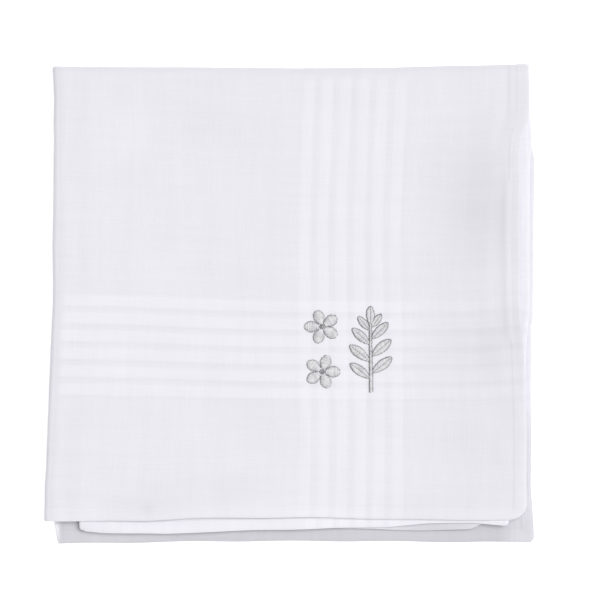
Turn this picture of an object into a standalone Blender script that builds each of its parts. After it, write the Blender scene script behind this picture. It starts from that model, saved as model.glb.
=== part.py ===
"""Linen handkerchief folded in quarters.

One square hemmed cloth is folded in half along the far side, and then in half again along the left side,
which leaves four layers with all of the hems at the right and at the near side. The whole cloth is one
solid: a flat grid is bent twice by fold_point, its edges are eased out of square by two short tables, and
Solidify gives it its thickness. The layers are numbered from the top, 1 to 4. Layers 1 and 4 are the outer
half of the cloth and layers 2 and 3 the inner half.

Units are metres, +Z is up, and the origin is at the centre of the underside.
"""

from collections import namedtuple
import math

import bmesh
import bpy

MM = 0.001

# Driving sizes
FOLDED_SIDE = 210 * MM      # side of the folded square
FLAT_SIDE = 420 * MM        # side of the open cloth
CLOTH = 1.0 * MM            # thickness of one layer
GAP = 0.3 * MM              # air between two layers
TOP_CORNER = 7.6 * MM       # radius of the top layer's curled corner
LOWER_CORNER = 2.6 * MM     # radius of the lower layers' corners

# Sizes that follow from them
HALF_CLOTH = FLAT_SIDE / 2
HALF_SQUARE = FOLDED_SIDE / 2
PITCH = CLOTH + GAP
FIRST_RADIUS = PITCH / 2    # middle of the cloth round the first fold
SECOND_RADIUS = PITCH       # middle of the doubled cloth round the second fold
FIRST_BEND = FIRST_RADIUS * math.pi / 2
SECOND_BEND = SECOND_RADIUS * math.pi / 2
LAYER_4_HEIGHT = CLOTH / 2
LAYER_1_HEIGHT = LAYER_4_HEIGHT + 2 * (FIRST_RADIUS + SECOND_RADIUS)
MID_HEIGHT = (LAYER_1_HEIGHT + LAYER_4_HEIGHT) / 2
BEND_STEPS = 6              # facets in each quarter turn of a fold

# The unpressed folds spring open a little, which lifts the layers beside them.
SECOND_SWELL = 0.5 * MM     # lift of layer 1 at the left fold
FIRST_SWELL = 0.3 * MM      # lift of layer 1 at the far fold
SWELL_RUN = 14 * MM         # distance in which a lift falls to about a third

# Where the grid's lines cross the flat cloth, in mm from the fold; the bends add their own lines.
LINES_DOWN = (
    5, 10, 15, 25, 33, 40, 56, 70, 85, 100, 111, 115, 124, 137, 150, 168, 187, 195, 200, 203, 205, 207,
    208.6, 210)
LINES_ACROSS = (
    4, 8, 12, 25, 43, 61, 80, 95, 110, 130, 150, 168, 178, 186, 190, 194, 198, 203, 205, 207, 208.6, 210)

# How far the side edges stand to the right of the true square, in mm, by the distance down from the far fold.
SideEdges = namedtuple("SideEdges", "down fold_1 fold_23 fold_4 hem_1 hem_2 hem_3 hem_4")
SIDE_EDGES = (
    SideEdges(0, 1.2, 1.3, 1.2, 0.5, -0.2, -0.1, -0.3),
    SideEdges(15, 1.9, 2.4, 1.9, 0.5, -0.2, 0.1, -0.2),
    SideEdges(25, 1.6, 2.7, 1.6, 0.4, -0.1, 1.5, 0.3),
    SideEdges(33, 1.8, 2.9, 1.8, -2.2, -0.2, 1.8, 1.2),
    SideEdges(40, 1.7, 3.2, 1.7, -3.2, 0.3, 1.1, 3.0),
    SideEdges(70, 1.4, 4.6, 1.4, -3.4, 0.4, 1.0, 2.9),
    SideEdges(85, 1.1, 5.2, 1.1, -3.4, 0.4, 1.0, 2.5),
    SideEdges(100, 1.4, 5.9, 1.4, -3.5, 0.4, 1.0, 2.5),
    SideEdges(111, 1.3, 6.6, 1.3, -3.1, 0.2, 0.7, 2.6),
    SideEdges(115, 1.1, 6.8, 1.1, -2.9, 0.0, 0.4, 1.7),
    SideEdges(124, 0.7, 7.3, 0.7, -2.5, -1.3, -0.3, 1.6),
    SideEdges(150, -0.4, 8.9, -0.4, -1.1, -3.3, -1.1, 1.6),
    SideEdges(187, -1.8, 10.8, -1.0, -0.7, -5.6, -2.2, 1.7),
    SideEdges(195, -2.4, 11.3, 0.9, -0.7, -7.2, -4.4, 2.1),
    SideEdges(200, -2.4, 11.6, 1.8, -0.7, -8.1, -6.0, 2.4),
    SideEdges(210, -2.4, 11.7, 1.6, -0.7, -8.4, -6.6, 2.9),
)

# How far the far and near edges stand towards the far side of the true square, in mm, by the distance across.
EndEdges = namedtuple("EndEdges", "across fold hem_1 hem_2 hem_3 hem_4")
END_EDGES = (
    EndEdges(0, -0.9, 9.3, 7.2, 8.2, -0.8),
    EndEdges(1.5, -0.9, 9.3, 5.7, 7.0, -0.8),
    EndEdges(4, -1.0, 9.3, 4.8, 6.2, -0.8),
    EndEdges(12, -1.2, 9.3, 4.2, 5.8, -0.6),
    EndEdges(43, -1.3, 9.4, 3.5, 5.0, -0.2),
    EndEdges(61, -1.3, 10.5, 4.5, 5.9, 0.2),
    EndEdges(110, -1.8, 11.0, 5.8, 6.7, 0.4),
    EndEdges(150, -1.5, 10.3, 6.8, 5.4, 0.2),
    EndEdges(168, -0.9, 9.9, 8.1, 5.2, 0.0),
    EndEdges(186, -0.6, 9.9, 8.4, 5.4, 0.0),
    EndEdges(190, -0.5, 9.9, 8.6, 5.8, 0.0),
    EndEdges(194, -0.4, 9.9, 8.5, 8.0, -0.1),
    EndEdges(198, -0.3, 9.9, 8.2, 8.9, -0.1),
    EndEdges(210, -0.1, 9.9, 7.1, 9.2, -0.3),
)

# The turn of the second fold, in degrees up from its outermost line, over which the cloth passes from the
# lower layers' edges to the upper ones'. The near hem steps back later than the fold does.
SIDE_STEP = (-25, 15)
END_STEP = (-90, -20)

LINEN_WHITE = (0.81, 0.81, 0.83, 1.0)
LINEN_ROUGHNESS = 0.9


def clear_scene():
    for obj in list(bpy.data.objects):
        bpy.data.objects.remove(obj)


def new_collection(name):
    collection = bpy.data.collections.new(name)
    bpy.context.scene.collection.children.link(collection)
    return collection


def linen_material():
    material = bpy.data.materials.new("linen")
    material.use_nodes = True
    shader = material.node_tree.nodes["Principled BSDF"]
    shader.inputs["Base Color"].default_value = LINEN_WHITE
    shader.inputs["Roughness"].default_value = LINEN_ROUGHNESS
    shader.inputs["Metallic"].default_value = 0.0
    return material


def grid_lines(straight_lines, bend):
    """Every grid line's place on the flat cloth, from hem to hem, with even steps round the fold."""
    one_side = [bend * step / BEND_STEPS for step in range(1, BEND_STEPS + 1)]
    one_side += [line * MM for line in straight_lines]
    return [-line for line in reversed(one_side)] + [0.0] + one_side


def round_corner(across, along):
    """Draws a point near one of the cloth's corners in, so that the corner is round."""
    radius = TOP_CORNER if across > 0 and along > 0 else LOWER_CORNER
    square = HALF_CLOTH - radius
    in_x = abs(across) - square
    in_y = abs(along) - square
    if in_x <= 0 or in_y <= 0:
        return across, along
    ease = max(in_x, in_y) / math.hypot(in_x, in_y)
    return (
        math.copysign(square + in_x * ease, across),
        math.copysign(square + in_y * ease, along),
    )


def read_table(table, place, column):
    """The column's value at a place, on the straight line between the two rows beside it, in metres."""
    place /= MM
    for row, following in zip(table, table[1:]):
        if place <= following[0]:
            share = (place - row[0]) / (following[0] - row[0])
            start = getattr(row, column)
            return (start + (getattr(following, column) - start) * share) * MM
    return getattr(table[-1], column) * MM


def rise(value, start, end):
    """0 before start, 1 after end, and a smooth rise between them."""
    share = max(0.0, min(1.0, (value - start) / (end - start)))
    return share * share * (3 - 2 * share)


def layer_shares(outer, upper):
    """How much of each layer, 1 to 4, a point belongs to; it is shared only inside the folds."""
    return (upper * outer, upper * (1 - outer), (1 - upper) * (1 - outer), (1 - upper) * outer)


def side_ease(down, across_share, shares):
    """How far a point stands to the right of its place in a true square."""
    ease = 0.0
    for number, fold in enumerate(("fold_1", "fold_23", "fold_23", "fold_4")):
        at_fold = read_table(SIDE_EDGES, down, fold)
        at_hem = read_table(SIDE_EDGES, down, f"hem_{number + 1}")
        ease += shares[number] * (at_fold + (at_hem - at_fold) * across_share)
    return ease


def end_ease(right, down_share, shares):
    """How far a point stands towards the far side from its place in a true square."""
    at_fold = read_table(END_EDGES, right, "fold")
    ease = 0.0
    for number, share in enumerate(shares):
        at_hem = read_table(END_EDGES, right, f"hem_{number + 1}")
        ease += share * (at_fold + (at_hem - at_fold) * down_share)
    return ease


def fold_point(across, along):
    """The place in the folded cloth of a point of the flat cloth, measured from the two folds' crossing."""
    across, along = round_corner(across, along)
    first_turn = max(-1, min(1, along / FIRST_BEND)) * math.pi / 2
    second_turn = max(-1, min(1, across / SECOND_BEND)) * math.pi / 2

    # First fold, along the far side: the cloth turns over on itself.
    down_share = max(abs(along) - FIRST_BEND, 0) / (HALF_CLOTH - FIRST_BEND)
    down = FIRST_RADIUS * (1 - math.cos(first_turn)) + down_share * (FOLDED_SIDE - FIRST_RADIUS)
    radius = SECOND_RADIUS + FIRST_RADIUS * math.sin(first_turn)

    # Second fold, along the left side: the doubled cloth turns under itself.
    outer_radius = SECOND_RADIUS + FIRST_RADIUS
    across_share = max(abs(across) - SECOND_BEND, 0) / (HALF_CLOTH - SECOND_BEND)
    right = outer_radius - radius * math.cos(second_turn) + across_share * (FOLDED_SIDE - outer_radius)
    height = MID_HEIGHT + radius * math.sin(second_turn)

    # Out of square: each layer's own edges, blended across the cloth between them.
    outer = (1 + math.sin(first_turn)) / 2
    second_degrees = math.degrees(second_turn)
    side_shares = layer_shares(outer, rise(second_degrees, *SIDE_STEP))
    end_shares = layer_shares(outer, rise(second_degrees, *END_STEP))

    # The folds' spring: layer 4 stays down, and each layer above it is lifted more.
    swell = SECOND_SWELL * math.exp(-right / SWELL_RUN) + FIRST_SWELL * math.exp(-down / SWELL_RUN)
    height += swell * (height - LAYER_4_HEIGHT) / (LAYER_1_HEIGHT - LAYER_4_HEIGHT)

    return (
        -HALF_SQUARE + right + side_ease(down, across_share, side_shares),
        HALF_SQUARE - down + end_ease(right, down_share, end_shares),
        height,
    )


def make_handkerchief(collection, material):
    """The cloth as a flat grid, folded twice, with its thickness from Solidify."""
    across_lines = grid_lines(LINES_ACROSS, SECOND_BEND)
    along_lines = grid_lines(LINES_DOWN, FIRST_BEND)
    columns = len(across_lines) - 1
    rows = len(along_lines) - 1

    cloth = bmesh.new()
    bmesh.ops.create_grid(cloth, x_segments=columns, y_segments=rows, size=1)
    for vert in cloth.verts:
        column = round((vert.co.x + 1) / 2 * columns)
        row = round((vert.co.y + 1) / 2 * rows)
        vert.co = fold_point(across_lines[column], along_lines[row])
    bmesh.ops.recalc_face_normals(cloth, faces=cloth.faces)

    mesh = bpy.data.meshes.new("handkerchief")
    cloth.to_mesh(mesh)
    cloth.free()
    mesh.shade_smooth()
    mesh.materials.append(material)

    handkerchief = bpy.data.objects.new("handkerchief", mesh)
    collection.objects.link(handkerchief)
    thickness = handkerchief.modifiers.new("cloth thickness", "SOLIDIFY")
    thickness.thickness = CLOTH
    thickness.offset = 0
    thickness.use_even_offset = False
    thickness.use_rim = True
    return handkerchief


def main():
    clear_scene()
    collection = new_collection("linen handkerchief")
    make_handkerchief(collection, linen_material())


main()
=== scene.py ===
"""A linen handkerchief folded in quarters: its cloth with satin stripes and hems, the hem stitching, a small
embroidered blossom and sprig motif, and a plain studio to see it in.

The flat cloth is measured from the crossing of its two folds. "Across" runs from the left fold and "along"
from the far fold, each positive or negative by the side of the fold. On the folded cloth, "right" is the
distance from the left fold and "down" the distance from the far fold. Tables, relief, patterns and stitches
are in millimetres, and other sizes are in metres.
"""

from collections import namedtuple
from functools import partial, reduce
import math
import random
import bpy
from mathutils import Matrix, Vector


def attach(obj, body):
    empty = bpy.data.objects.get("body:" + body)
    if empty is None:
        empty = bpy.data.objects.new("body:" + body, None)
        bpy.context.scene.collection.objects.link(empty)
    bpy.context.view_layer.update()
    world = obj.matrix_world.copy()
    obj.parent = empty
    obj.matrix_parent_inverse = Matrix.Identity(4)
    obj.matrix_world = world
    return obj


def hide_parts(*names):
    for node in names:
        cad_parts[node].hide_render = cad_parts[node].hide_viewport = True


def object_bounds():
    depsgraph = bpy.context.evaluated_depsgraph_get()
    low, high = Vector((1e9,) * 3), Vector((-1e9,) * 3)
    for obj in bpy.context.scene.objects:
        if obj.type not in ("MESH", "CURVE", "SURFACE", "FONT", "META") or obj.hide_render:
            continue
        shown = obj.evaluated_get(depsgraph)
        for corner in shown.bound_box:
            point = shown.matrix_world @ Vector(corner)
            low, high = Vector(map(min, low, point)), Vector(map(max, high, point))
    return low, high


bl_info = {
    "name": "Folded Linen Handkerchief",
    "version": (1, 0, 0),
    "blender": (4, 5, 0),
    "location": "View3D > Sidebar > Handkerchief",
    "description": "Builds a linen handkerchief folded in quarters, with satin stripes, hems and embroidery",
    "category": "Add Mesh",
}

import bmesh
import bpy
from mathutils import Matrix, Vector

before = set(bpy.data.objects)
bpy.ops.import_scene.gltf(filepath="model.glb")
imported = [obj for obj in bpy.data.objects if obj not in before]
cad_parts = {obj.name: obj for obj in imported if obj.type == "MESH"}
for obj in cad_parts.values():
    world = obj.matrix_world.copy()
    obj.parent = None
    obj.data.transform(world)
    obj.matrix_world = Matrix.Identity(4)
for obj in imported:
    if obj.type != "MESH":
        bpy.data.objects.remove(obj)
CAD_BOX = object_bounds()

MM = 0.001
CLOTH_NODE = "handkerchief"
BODY = "root"


def named_rows(columns, *rows):
    """A short table, whose rows' values are read by the names of their columns."""
    row_kind = namedtuple("Row", columns)
    return [row_kind(*row) for row in rows]


# ---- The fold: sizes shared with the solid ----
FOLDED_SIDE = 210 * MM
FLAT_SIDE = 420 * MM
LAYER_PITCH = 1.3 * MM
HALF_CLOTH = FLAT_SIDE / 2
HALF_SQUARE = FOLDED_SIDE / 2
FIRST_RADIUS = LAYER_PITCH / 2
SECOND_RADIUS = LAYER_PITCH
OUTER_RADIUS = FIRST_RADIUS + SECOND_RADIUS
FIRST_BEND = FIRST_RADIUS * math.pi / 2
SECOND_BEND = SECOND_RADIUS * math.pi / 2
LAYER_4_HEIGHT = 0.5 * MM
STACK_HEIGHT = 2 * OUTER_RADIUS
MID_HEIGHT = LAYER_4_HEIGHT + OUTER_RADIUS
BEND_STEPS = 6

# How far the side edges stand to the right of the true square, by the distance down from the far fold.
SIDE_EDGES = named_rows(
    "down fold_1 fold_23 fold_4 hem_1 hem_2 hem_3 hem_4",
    (0, 1.2, 1.3, 1.2, 0.5, -0.2, -0.1, -0.3),
    (15, 1.9, 2.4, 1.9, 0.5, -0.2, 0.1, -0.2),
    (25, 1.6, 2.7, 1.6, 0.4, -0.1, 1.5, 0.3),
    (33, 1.8, 2.9, 1.8, -2.2, -0.2, 1.8, 1.2),
    (40, 1.7, 3.2, 1.7, -3.2, 0.3, 1.1, 3.0),
    (70, 1.4, 4.6, 1.4, -3.4, 0.4, 1.0, 2.9),
    (85, 1.1, 5.2, 1.1, -3.4, 0.4, 1.0, 2.5),
    (100, 1.4, 5.9, 1.4, -3.5, 0.4, 1.0, 2.5),
    (111, 1.3, 6.6, 1.3, -3.1, 0.2, 0.7, 2.6),
    (115, 1.1, 6.8, 1.1, -2.9, 0.0, 0.4, 1.7),
    (124, 0.7, 7.3, 0.7, -2.5, -1.3, -0.3, 1.6),
    (150, -0.4, 8.9, -0.4, -1.1, -3.3, -1.1, 1.6),
    (187, -1.8, 10.8, -1.0, -0.7, -5.6, -2.2, 1.7),
    (195, -2.4, 11.3, 0.9, -0.7, -7.2, -4.4, 2.1),
    (200, -2.4, 11.6, 1.8, -0.7, -8.1, -6.0, 2.4),
    (210, -2.4, 11.7, 1.6, -0.7, -8.4, -6.6, 2.9),
)

# How far the far and near edges stand towards the far side of the true square, by the distance across.
END_EDGES = named_rows(
    "across fold hem_1 hem_2 hem_3 hem_4",
    (0, -0.9, 9.3, 7.2, 8.2, -0.8),
    (1.5, -0.9, 9.3, 5.7, 7.0, -0.8),
    (4, -1.0, 9.3, 4.8, 6.2, -0.8),
    (12, -1.2, 9.3, 4.2, 5.8, -0.6),
    (43, -1.3, 9.4, 3.5, 5.0, -0.2),
    (61, -1.3, 10.5, 4.5, 5.9, 0.2),
    (110, -1.8, 11.0, 5.8, 6.7, 0.4),
    (150, -1.5, 10.3, 6.8, 5.4, 0.2),
    (168, -0.9, 9.9, 8.1, 5.2, 0.0),
    (186, -0.6, 9.9, 8.4, 5.4, 0.0),
    (190, -0.5, 9.9, 8.6, 5.8, 0.0),
    (194, -0.4, 9.9, 8.5, 8.0, -0.1),
    (198, -0.3, 9.9, 8.2, 8.9, -0.1),
    (210, -0.1, 9.9, 7.1, 9.2, -0.3),
)

SOFTEN_OVER = (-30, -20, -10, 0, 10, 20, 30)
EDGE_POWER = 9  # how closely to an edge the cloth follows the edge's own turns
SIDE_FOLDS = ("fold_1", "fold_23", "fold_23", "fold_4")
END_FOLDS = ("fold", "fold", "fold", "fold")
HEMS = ("hem_1", "hem_2", "hem_3", "hem_4")

# Turn of the second fold, in degrees, over which the cloth passes from the lower layers' edges to the upper
# layers' edges.
SIDE_STEP = (-25, 15)
END_STEP = (-90, -20)

# ---- The cloth's own relief ----
FIELD_SAG = 0.8  # how far the field sinks between the folds and the thicker hems
FOLD_RUN, HEM_RUN = 15, 12  # how far in from a fold or a hem the sinking takes
LEFT_SWELL, FAR_SWELL = 0.45, 0.35
SWELL_RUN = 12
FAR_DROOP, DROOP_RUN = 0.5, 2.6
INNER_FOLD = (12, 17)  # where the top layer climbs over the inner pair's fold
INNER_STEP = 0.15
WIDE_RIPPLE, FINE_RIPPLE = 0.15, 0.05  # heights of the ripples all over the top layer
PUCKER_HEIGHT = 0.045  # small gathers along a hem, highest at PUCKER_IN from its edge
PUCKER_IN, PUCKER_SPREAD, PUCKER_END = 4.6, 3.2, 16
LOOSE_FROM = 150 * MM  # from here on, the single layers lie more and more loosely

# Soft hollows and pillows in the top layer.
HOLLOWS = named_rows(
    "right down reach_right reach_down height",
    (187, 60, 11, 27, -0.80),
    (190, 122, 9, 22, -0.40),
    (188, 180, 12, 12, -0.35),
    (29, 33, 12, 12, 0.22),
    (24, 170, 12, 10, 0.22),
    (60, 32, 16, 22, -0.22),
    (122, 188, 22, 8, 0.15),
)

# Creases: a ridge, or with a negative height a trough, along a straight line on the top layer.
CREASES = named_rows(
    "right_1 down_1 right_2 down_2 width height",
    (201.4, 3, 201.2, 22, 1.1, -0.30),
    (196.5, 8, 196.8, 26, 1.6, 0.08),
    (203.5, 20, 204.6, 36, 0.9, 0.12),
    (199.3, 22, 200.4, 41, 1.2, -0.14),
    (197.4, 51, 201.2, 54.5, 1.0, 0.18),
    (203.7, 52, 203.8, 124, 1.2, 0.34),
    (199.0, 60, 199.4, 118, 2.0, -0.22),
    (193.0, 44, 196.5, 80, 2.2, -0.12),
    (41.4, 194.6, 45.0, 196.6, 1.1, -0.22),
    (36.0, 190, 40.5, 194.5, 1.4, 0.10),
    (176.0, 196, 203.0, 192, 1.8, 0.10),
    (188.0, 170, 199.0, 186, 2.4, -0.12),
    (6.5, 60, 8.0, 150, 2.4, 0.08),
)

# Waves of the single layers, 1 to 4, near their free edges.
LAYER_WAVES = named_rows(
    "length phase height",
    (61, 0.3, 0.12),
    (47, 2.1, 0.15),
    (53, 4.0, 0.14),
    (70, 1.0, 0.03),
)

# How far the cloth's grain bows: to the far side at the left fold, and to the near side from the middle on.
GRAIN_DRIFT = 1.8
DRIFT_END = 185 * MM  # the bow fades from here to the right hem
EDGE_WOBBLE, WOBBLE_POWER = 0.16, 12  # small waves in the free edges, and how closely they keep to them
THIN_CLOTH_OUT = 0.29 * MM  # the folds stand out by this, since the cloth is thinner than the solid's
LOWER_CORNER = 2.6 * MM  # radius of the lower layers' corners

# Soft round patches of painted shade, and one of painted light, by their signed places on the flat cloth,
# over the top layer's hollows, creases and hems and the lower layers' edges.
PAINTED_SHADES = named_rows(
    "across along reach_across reach_along tone",
    (191, 62, 26, 52, -0.052),
    (184, 70, 28, 82, -0.052),
    (192, 124, 22, 30, -0.026),
    (184, 131, 44, 34, -0.052),
    (205, 118, 7, 22, -0.055),
    (209.5, 131, 5, 34, -0.080),
    (208, 12, 5, 34, -0.045),
    (201.3, 8, 1.7, 30, -0.050),
    (186, 172, 30, 36, -0.042),
    (202, 160, 5, 14, -0.030),
    (202.5, 78, 2.4, 42, -0.035),
    (208, 78, 5, 60, -0.050),
    (64, 22, 46, 22, -0.012),
    (30, 30, 26, 26, 0.012),
    (44, 206, 25, 24, -0.050),
    (84, 195, 26, 14, -0.022),
    (173, 207, 46, 17, -0.040),
    (44.5, 205, 4.5, 5, -0.040),
    (207, -128, 9, 36, -0.100),
    (207, -30, 9, 28, -0.030),
    (-207, -76, 9, 86, -0.060),
    (-207, -132, 9, 34, -0.040),
    (-208, 76, 10, 86, -0.060),
    (-208, 30, 9, 26, -0.030),
    (-208, 184, 12, 80, -0.120),
    (208, 170, 6, 42, -0.025),
    (-172, -206, 52, 18, -0.240),
)

# The lowest layer's near strip has painted shade, since it lies in the shadow of the layers above it.
STRIP_INSIDE = (17, 9)  # the strip's start and full depth, in from the hem's edge
STRIP_RUN = (14, 52)  # it darkens over this distance from the fold
STRIP_SHADE_TONES = (-0.20, -0.26)  # from this tone to this one
STRIP_END = (194, 206)  # and fades over this one beside the right hem
STRIP_FADE = 0.15  # to this share
STRIPES_LOST_IN_SHADE = 0.7  # how much of the stripes is lost in its painted shade
FAR_RIM, FAR_RIM_SHADE = (0.3, 4.2), -0.045  # the far fold's rim is darker over this distance: painted shade where the fold turns away from the light
LEFT_RIM, LEFT_RIM_SHADE = (0.3, 6.5), -0.075  # the left fold's rim has painted shade too, but for its outermost part
# painted light on the left fold's outermost turn
LEFT_TURN, LEFT_TURN_LIGHT = (0.3, 2.8), 0.19
LENGTHWISE_SHARE = 0.8  # how bright the lengthwise stripes are beside the crosswise ones
INNER_HEM_TONE = 0.03  # the hem's turned side, which the inner layers show

# Stretches over which the linen's look changes, by the distance from a fold, and its tones and roughness.
CLEAR_FAR, CLEAR_LEFT = (3.0, 7.5), (2.5, 6.0)  # the stripes start clear of the folds
CROSSING_END, PAST_CROSSING = (156.0, 168.0), 0.5  # the crosswise ones are fainter past the crossing
LOWEST_ACROSS, LOWEST_ALONG = (-1.0, -4.0), (100.0, 110.0)  # where the lowest layer's near half begins
BACKED_ACROSS, BACKED_ALONG = (14.0, 17.5), (3.0, 6.0)  # where the inner layers back the outer ones
HEM_BLEND, SEAM_SPREAD = (0.2, -0.4), (0.25, 0.75)
LINE_IN, LINE_OUT = (-0.8, 0.1), (0.3, 1.3)  # the line beside a stripe comes and goes
SATIN_TONE, LINE_TONE, HEM_TONE, SEAM_TONE = 0.026, -0.012, 0.026, -0.010
BACKED_TONE, CLOUD_TONE, UNEVEN_WEAR = 0.016, 0.035, 0.8
SATIN_FLATNESS = 0.55  # how much of the yarns' relief the satin loses
LINEN_ROUGHNESS = (0.86, 0.62)  # of the plain weave and of the satin

# The weave's and the thread's own relief and tone, with painted shade where the yarns dip and between a
# thread's plies.
YARN_BEND = 0.5  # how far the yarns wander
SLUB_HEIGHT, SLUB_TONE, PATCH_TONE = 1.2, 0.05, 0.0385
YARNS_SWAP = (-0.25, 0.25)  # one yarn passes over the other
YARNS_MEAN, YARN_DIP_SHADE = 0.6, 0.06
PLIES_MEAN, PLY_GROOVE_SHADE = 0.6, 0.25

# A thread's look; its sunk shade is the painted shade where a stitch dips into the cloth.
ThreadLook = namedtuple("ThreadLook", "turns roughness sheen relief sunk_tone")
SEWING_LOOK = ThreadLook(5.0, 0.55, 0.2, 0.03 * MM, -0.15)
SILVER_LOOK = ThreadLook(4.0, 0.40, 0.3, 0.05 * MM, -0.75)
SUNK_SHADE_OVER = (0.10, 0.75)  # painted shade darkens a stitch over this distance from its end, where it dips into the cloth
THREAD_UNEVEN, STITCH_UNEVEN = 0.5, 0.09

# Satin stripes and hems, for the mesh; the patterns in the materials take the same figures.
STRIPE_COUNT = 6
STRIPE_RISE = 1.6
STRIPE_FALL = 1.4
HEM_STEP = (-0.9, 0.6)  # the hem thins out over this, on either side of its inner edge
GROOVE_IN = 1.1  # the stitching's distance inside the hem's inner edge
ROWS_CLEAR = 1.2 * MM  # two rows of stitches stop this far short of their crossing
STITCH_PROUD = 0.06 * MM  # how much higher a stitch is than the hem is thick
GROOVE_WIDTH, GROOVE_DEPTH = 0.5, 0.14  # how wide the stitching's groove is, and its share of the thickness
EDGE_ROUND, EDGE_DEPTH = (-0.1, 0.9), 0.5  # the same for the hem's thinner outer edge

# The grid's lines: beside a fold, evenly in the field and past the stripes, and in from a hem's edge.
FOLD_LINES = (2.5, 3.2, 4.1, 5.2)
FIELD_FROM, FIELD_PITCH, BORDER_PITCH = 6.5, 3.9, 2.6
HEM_LINES = (7.2, 6.3, 5.8, 5.2, 4.9, 4.6, 4.3, 4.0, 3.5, 2.4, 1.3, 0.6, 0.25, 0.08, 0)

FLAT_MAP = "flat cloth"
THREAD_MAP = "thread"
END_DISTANCE = "distance from the end"
STITCH_TONE = "stitch tone"
THICKNESS_GROUP = "thickness"
WEIGHT_ROOM = 1.1  # a full weight in the group stands for this much of the hem's thickness

# ---- Embroidery, in millimetres from the motif's centre ----
BLOSSOMS = named_rows(
    "right up turn",
    (-13.0, 10.6, 18),
    (-13.0, -10.6, -18),
)
PETALS = 5
PETAL_START, PETAL_LENGTH, PETAL_WIDTH = 1.5, 6.6, 4.9
KNOTS = 6

LEAVES = named_rows(
    "up side length width lean",
    (-13.5, -1, 11.0, 4.2, 52),
    (-11.0, 1, 11.5, 4.3, 50),
    (-5.5, -1, 11.5, 4.4, 50),
    (-3.0, 1, 11.5, 4.4, 48),
    (2.5, -1, 10.5, 4.0, 46),
    (5.0, 1, 10.5, 4.0, 44),
    (9.0, -1, 8.0, 3.2, 38),
    (10.5, 1, 7.5, 3.0, 36),
    (11.5, 0, 8.8, 3.6, 0),
)
STEM_RIGHT = 8.6
STEM_WIDTH = 1.5
STEM_FROM, STEM_TO = -20.0, 12.0
STEM_TAPER = 0.35
STEM_LIFT, KNOT_LIFT = 0.26, 0.22
LEAF_SLANT, VEIN_OVERLAP = 0.55, 0.1
PETAL_BOW = 0.1
THREAD_FLATNESS = 0.8
START_LOOSE, END_LOOSE, LIFT_LOOSE = 0.08, 0.12, 0.02  # how uneven the stitches are
ARCH_MOST, ARCH_LEAST, ARCH_GROWTH = 0.5, 0.12, 0.12  # a stitch's height at its middle, by its length
KNOT_RING, KNOT_SIZE = 0.85, 1.9


# ---- Settings ----
def length_setting(name, description, default, low, high):
    """A length that a user may change, given in millimetres."""
    return bpy.props.FloatProperty(
        name=name, description=description, default=default * MM, min=low * MM, max=high * MM,
        unit="LENGTH", precision=5)


def colour_setting(name, description, red, green, blue):
    return bpy.props.FloatVectorProperty(
        name=name, description=description, default=(red, green, blue, 1.0), subtype="COLOR", size=4,
        min=0, max=1)


def strength_setting(name, description, default, high):
    return bpy.props.FloatProperty(name=name, description=description, default=default, min=0, max=high)


class HandkerchiefCloth(bpy.types.PropertyGroup):
    body_thickness: length_setting("Cloth thickness", "Thickness of the single cloth", 0.42, 0.1, 1.0)
    hem_thickness: length_setting("Hem thickness", "Thickness of the turned and stitched hem", 0.90, 0.2, 1.2)
    hem_width: length_setting("Hem width", "Width of the hem", 5.3, 3, 10)
    hem_corner: length_setting("Top corner radius", "Radius of the top layer's curled corner", 7.6, 1, 20)
    stripe_across: length_setting(
        "First lengthwise stripe", "Distance of the first lengthwise stripe from the left fold",
        109.7, 20, 150)
    stripe_along: length_setting(
        "First crosswise stripe", "Distance of the first crosswise stripe from the far fold",
        106.2, 20, 150)
    stripe_period: length_setting("Stripe spacing", "Distance from one satin stripe to the next", 8.15, 3, 15)
    stripe_width: length_setting("Stripe width", "Width of a satin stripe", 6.5, 1, 12)
    stripe_relief: length_setting("Stripe relief", "How much thicker a satin stripe is", 0.08, 0, 0.4)
    yarn_pitch: length_setting("Yarn spacing", "Distance between two yarns of the weave", 0.42, 0.2, 2)
    linen_colour: colour_setting("Linen", "Colour of the linen", 0.735, 0.728, 0.778)


class HandkerchiefThread(bpy.types.PropertyGroup):
    hem_stitch: length_setting("Hem stitch length", "Length of a stitch in the hem", 2.1, 1, 5)
    hem_stitch_gap: length_setting("Hem stitch gap", "Gap between two stitches in the hem", 0.5, 0, 3)
    hem_thread: length_setting("Hem thread", "Width of the hem's sewing thread", 0.28, 0.1, 1)
    satin_thread: length_setting("Embroidery thread", "Width of the embroidery thread", 0.46, 0.2, 1)
    satin_pitch: length_setting(
        "Embroidery spacing", "Distance between two threads of satin stitch", 0.37, 0.2, 1)
    motif_across: length_setting(
        "Motif across", "Distance of the motif's centre from the left fold", 133.6, 30, 180)
    motif_along: length_setting(
        "Motif along", "Distance of the motif's centre from the far fold", 129.5, 30, 180)
    silver_colour: colour_setting("Silver grey thread", "Colour of the embroidery thread", 0.66, 0.66, 0.675)
    sewing_colour: colour_setting("Sewing thread", "Colour of the hem's sewing thread", 0.80, 0.79, 0.83)


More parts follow.
